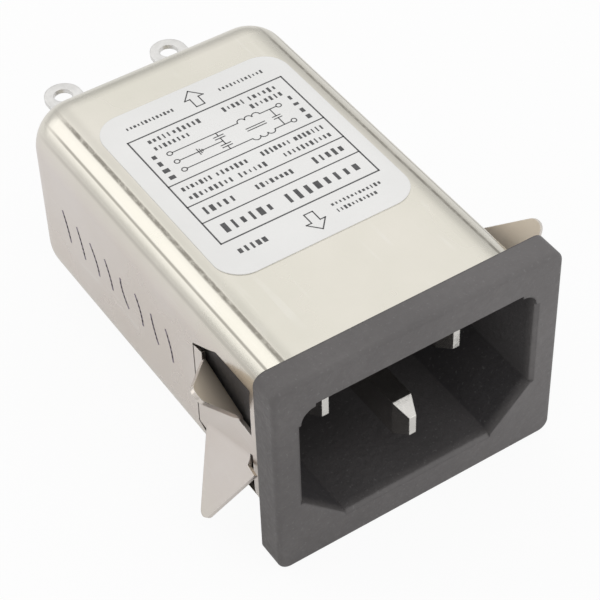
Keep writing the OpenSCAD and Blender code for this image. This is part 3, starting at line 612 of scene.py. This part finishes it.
def draw_filter_circuit(pen):
    """The plain circuit of such a filter: a choke in both lines, capacitors across and to earth."""
    choke_half, loops = 1.2, 3
    choke_u = 2.6
    wire_end = TERMINAL_U - 0.3
    for v, side in ((LINE_V, 1), (NEUTRAL_V, -1)):
        for end in (-1, 1):
            pen.arc((end * TERMINAL_U, v), TERMINAL_RADIUS, width=WIRE, steps=14)
        pen.line((-wire_end, v), (choke_u - choke_half, v), WIRE)
        pen.line((choke_u + choke_half, v), (wire_end, v), WIRE)
        radius = choke_half / loops
        first = 0.0 if side > 0 else 180.0
        for i in range(loops):
            middle = (choke_u - choke_half + radius * (2 * i + 1), v)
            pen.arc(middle, radius, first, first + 180.0, WIRE, 9)
        # A capacitor from this line to earth.
        plate_v = (v + EARTH_V) / 2
        for step in (-PLATE_GAP, PLATE_GAP):
            pen.line((-1.5, plate_v + step), (-0.5, plate_v + step), WIRE)
        pen.line((-1.0, v), (-1.0, plate_v + PLATE_GAP * side), WIRE)
        pen.line((-1.0, plate_v - PLATE_GAP * side), (-1.0, EARTH_V), WIRE)
    pen.line((-wire_end, EARTH_V), (-1.0, EARTH_V), WIRE)
    pen.arc((-TERMINAL_U, EARTH_V), TERMINAL_RADIUS, width=WIRE, steps=14)
    for i, half in enumerate((0.42, 0.28, 0.14)):
        pen.line((-3.6 + 0.2 * i, EARTH_V - half), (-3.6 + 0.2 * i, EARTH_V + half), 0.10)
    # The capacitor across the lines, and the core between the chokes.
    for step in (-PLATE_GAP, PLATE_GAP):
        pen.line((4.5, EARTH_V + step), (5.3, EARTH_V + step), WIRE)
        pen.line((choke_u - 1.0, EARTH_V + step), (choke_u + 1.0, EARTH_V + step), WIRE)
        pen.line((4.9, EARTH_V + step), (4.9, LINE_V if step > 0 else NEUTRAL_V), WIRE)


def draw_arrow(pen, v, ahead):
    """An outlined arrow at v, which points back along the part (ahead 1) or to the front (-1)."""
    tip, neck, tail = v + 1.5 * ahead, v + 0.35 * ahead, v - 0.9 * ahead
    head, shaft = 1.0, 0.45
    pen.path([(0.0, tip), (head, neck), (shaft, neck), (shaft, tail), (-shaft, tail),
              (-shaft, neck), (-head, neck), (0.0, tip)], 0.12)


def make_label_print():
    pen = Print(on_label)
    draw_frame(pen)
    draw_filter_circuit(pen)
    draw_arrow(pen, 33.4, 1.0)
    draw_arrow(pen, 13.6, -1.0)
    tree = word_row_tree()
    rows = [
        # start, end, bar
        ((-6.6, 30.7), (-4.6, 30.7), SMALL), ((-4.0, 30.7), (-1.4, 30.7), SMALL),
        ((-6.6, 29.6), (-3.2, 29.6), SMALL),
        ((1.4, 30.7), (3.4, 30.7), SMALL), ((4.2, 30.7), (6.9, 30.7), SMALL),
        ((3.8, 29.6), (6.9, 29.6), SMALL),
        ((-7.35, 28.6), (-7.35, 25.4), LETTERS), ((7.35, 28.6), (7.35, 25.4), LETTERS),
        ((-7.4, 23.45), (-4.6, 23.45), SMALL), ((-3.8, 23.45), (-0.8, 23.45), SMALL),
        ((1.0, 23.45), (3.8, 23.45), SMALL), ((4.6, 23.45), (7.4, 23.45), SMALL),
        ((-7.4, 22.15), (-3.2, 22.15), SMALL), ((-2.2, 22.15), (0.4, 22.15), SMALL),
        ((2.6, 22.15), (7.4, 22.15), SMALL),
        ((-7.2, 19.95), (-4.4, 19.95), MEDIUM), ((-1.8, 19.95), (1.8, 19.95), SMALL),
        ((4.4, 19.95), (7.2, 19.95), MEDIUM),
        ((-6.9, 17.1), (-2.3, 17.1), LARGE), ((-0.3, 17.1), (6.9, 17.1), LARGE),
        ((-7.4, 13.9), (-4.9, 13.9), MEDIUM), ((2.4, 14.2), (7.4, 14.2), TINY),
        ((2.4, 13.3), (6.4, 13.3), TINY), ((-7.4, 33.4), (-2.6, 33.4), TINY),
        ((2.6, 33.4), (7.2, 33.4), TINY),
    ]
    for seed, (start, end, bar) in enumerate(rows, 1):
        add_word_row(pen, tree, start, end, bar, seed)
    pen.finish("label_print", LABEL_INK)


STROKE_STEPS = 6


def make_side_ink():
    """Hand-stamped plain strokes along the left face, slightly bowed and uneven."""
    pen = Print(on_left_side)
    hand = random.Random(7)
    first, last, count = 35.3, 16.3, 8
    for i in range(count):
        u = first + (last - first) * i / (count - 1)
        bow = hand.uniform(-0.30, 0.30)
        foot = (u - 0.50 + hand.uniform(-0.15, 0.15), -1.4 + hand.uniform(-0.25, 0.25))
        head = (u + 0.50 + hand.uniform(-0.15, 0.15), 1.8 + hand.uniform(-0.25, 0.25))
        points = []
        for step in range(STROKE_STEPS + 1):
            share = step / STROKE_STEPS
            bend = bow * 4 * share * (1 - share)
            points.append((foot[0] + (head[0] - foot[0]) * share + bend,
                           foot[1] + (head[1] - foot[1]) * share))
        pen.path(points, 0.26)
    pen.finish("side_marks", SIDE_INK)


make_label_print()
make_side_ink()


# ---------------------------------------------------------------- stage
FLOOR_Z = -11.46 * MM           # just below the flange
FLOOR_SIZE = 1.5


def seen_directly(s):
    """Two masks: camera and transmission rays, which see the white background, and glossy rays."""
    path = s.add("LightPath")
    seen = s.math("MAXIMUM", path.outputs["Is Camera Ray"], path.outputs["Is Transmission Ray"])
    return seen, path.outputs["Is Glossy Ray"]


def make_floor():
    """A pale floor. Seen directly it is lifted to the white background and keeps a soft shadow."""
    mesh = bpy.data.meshes.new("floor")
    signs = ((-1, -1), (1, -1), (1, 1), (-1, 1))
    rim = [(x * FLOOR_SIZE, y * FLOOR_SIZE, FLOOR_Z) for x, y in signs]
    mesh.from_pydata(rim, [], [(0, 1, 2, 3)])
    floor = bpy.data.objects.new("floor", mesh)
    bpy.context.scene.collection.objects.link(floor)
    material = bpy.data.materials.new("floor")
    material.use_nodes = True
    tree = material.node_tree
    tree.nodes.clear()
    s = Shade(tree)
    matt = s.add("BsdfDiffuse", {"Color": (0.86, 0.86, 0.86, 1.0)})
    white = s.add("Emission", {"Color": (1.0, 1.0, 1.0, 1.0), "Strength": 1.0})
    seen, glossy = seen_directly(s)
    share = s.math("ADD", s.math("MULTIPLY", seen, 0.93), s.math("MULTIPLY", glossy, 0.30))
    mix = s.add("MixShader", {0: share, 1: matt.outputs[0], 2: white.outputs[0]})
    s.add("OutputMaterial", {"Surface": mix.outputs[0]})
    mesh.materials.append(material)


def make_light(name, place, target, size, radiance):
    """A square softbox of an even radiance, which metal shows at about that brightness."""
    data = bpy.data.lights.new(name, "AREA")
    data.shape = "RECTANGLE"
    data.size, data.size_y = size
    data.energy = radiance * math.pi * size[0] * size[1]
    light = bpy.data.objects.new(name, data)
    bpy.context.scene.collection.objects.link(light)
    light.location = place
    light.rotation_euler = (Vector(target) - Vector(place)).to_track_quat("-Z", "Y").to_euler()


def make_world():
    """White behind the object. For light it is a soft sky, darker towards the horizon."""
    world = bpy.data.worlds.new("studio")
    bpy.context.scene.world = world
    world.use_nodes = True
    tree = world.node_tree
    tree.nodes.clear()
    s = Shade(tree)
    way = s.add("TexCoord").outputs["Generated"]
    height = s.add("SeparateXYZ", {"Vector": way}).outputs["Z"]
    sky = s.ramp(height, [(0.0, grey(0.50)), (0.08, grey(0.50)), (0.25, grey(0.66)),
                          (0.6, grey(0.80)), (1.0, grey(0.88))])
    seen, _ = seen_directly(s)
    colour = s.blend(seen, sky, (1.0, 1.0, 1.0, 1.0))
    background = s.add("Background", {"Color": colour, "Strength": 1.0})
    s.add("OutputWorld", {"Surface": background.outputs[0]})


make_floor()
make_world()
TARGET = (0.0, 0.02, 0.0)
make_light("top_softbox", (0.30, 0.50, 0.62), TARGET, (0.60, 0.60), 0.20)
make_light("left_strip", (-0.40, 0.42, 0.30), TARGET, (0.46, 0.46), 0.58)
make_light("front_softbox", (0.35, -0.55, 0.30), TARGET, (0.40, 0.40), 1.10)

bpy.context.scene.view_settings.view_transform = "Standard"
